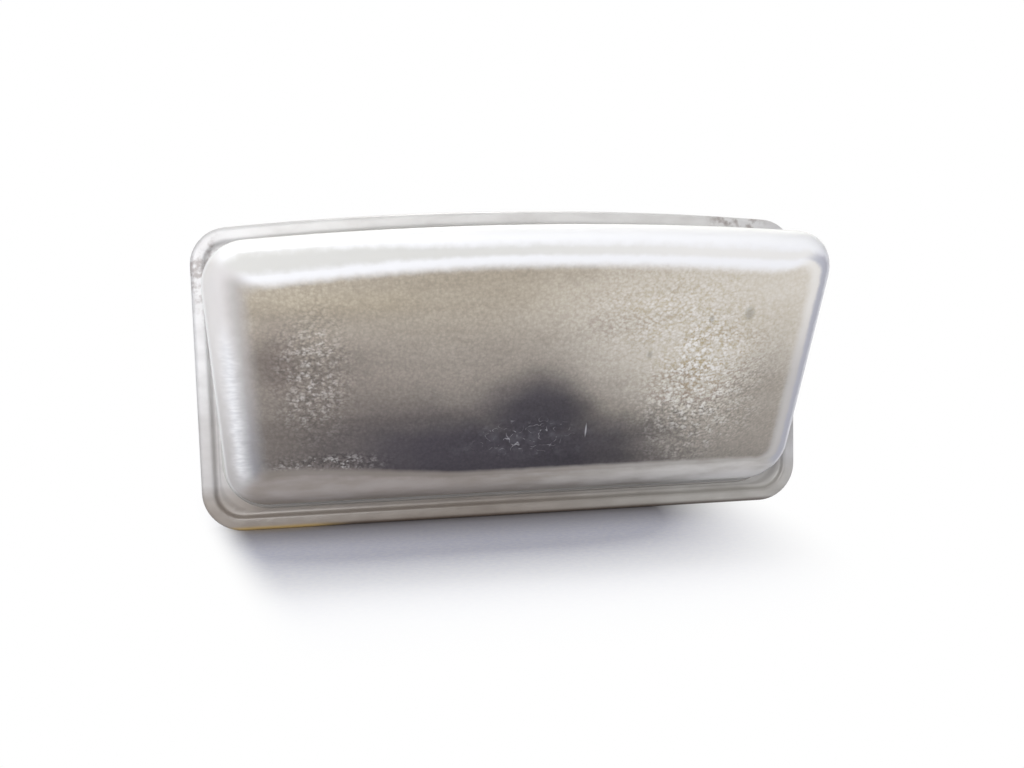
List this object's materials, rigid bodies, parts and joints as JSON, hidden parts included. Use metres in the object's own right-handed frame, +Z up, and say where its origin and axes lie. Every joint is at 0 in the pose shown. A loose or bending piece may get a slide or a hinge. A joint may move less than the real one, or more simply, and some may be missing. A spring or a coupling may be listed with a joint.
{
  "type": "number plate lamp",
  "caption": "Clip-in number plate lamp: clear wedge-shaped lens on a sealed flange, dark housing with reflector, and a twist-in bulb holder with a plug socket.",
  "frame": {"origin": "centre of the panel seat: the plane of the seal's rear face, midway between the flange's sides and between its upper and lower corners", "axes": "+Y points into the vehicle panel, the lens points to -Y, +Z is up and +X is to the right seen from the front"},
  "size_m": [0.078, 0.0581, 0.0393],
  "materials": {
    "lens_clear": "clear moulded plastic, hazed and scratched with age, stippled on the inside",
    "seal_foam": "closed-cell foam, matt",
    "housing_plastic": "dark moulded plastic, satin",
    "membrane": "breathable film, matt",
    "reflector_coat": "metallised coat gone dull and warm grey",
    "spring_steel": "rolled strip, satin",
    "holder_plastic": "dark moulded plastic, satin",
    "seal_rubber": "black rubber, matt",
    "contact_metal": "tinned brass strip",
    "bulb_glass": "clear glass",
    "filament_wire": "drawn wire",
    "lead_metal": "plated wire"
  },
  "bodies": {
    "root": {"lens": "lens_clear", "panel_seal": "seal_foam", "housing": "housing_plastic", "vent_membrane": "membrane", "reflector": "reflector_coat", "retaining_spring": "spring_steel", "bulb_holder": "holder_plastic", "holder_seal": "seal_rubber", "contact_left": "contact_metal", "contact_right": "contact_metal", "bulb_glass": "bulb_glass", "filament": "filament_wire", "lead_wire_left": "lead_metal", "lead_wire_right": "lead_metal"}
  },
  "joints": []
}
